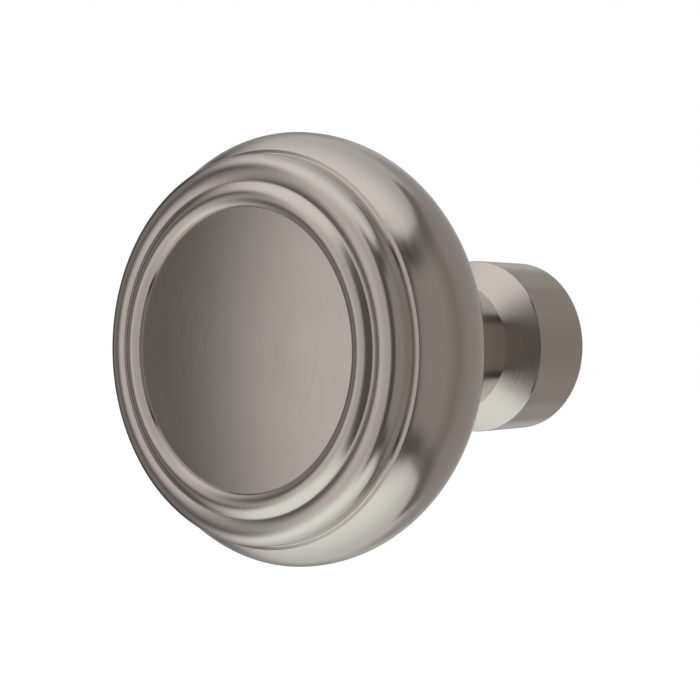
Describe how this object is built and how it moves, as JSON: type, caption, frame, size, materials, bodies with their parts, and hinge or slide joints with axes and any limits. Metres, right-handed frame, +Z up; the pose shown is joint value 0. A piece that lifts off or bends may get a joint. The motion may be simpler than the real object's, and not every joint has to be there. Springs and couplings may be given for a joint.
{
  "type": "cabinet knob",
  "caption": "Round turned cabinet knob in satin nickel: shallow domed face inside a raised bead and a stepped ring, bulged head, tapered stem and a drum base with a tapped hole for its screw.",
  "frame": {"origin": "centre of the flat mounting face at the back of the base, on the screw's axis", "axes": "+Z up as mounted on an upright door, +Y into the door along the knob's axis, the domed face looks along -Y"},
  "size_m": [0.035, 0.0352, 0.035],
  "materials": {
    "satin_nickel": "fine satin nickel plate over brass"
  },
  "bodies": {
    "root": {"knob": "satin_nickel"}
  },
  "joints": []
}
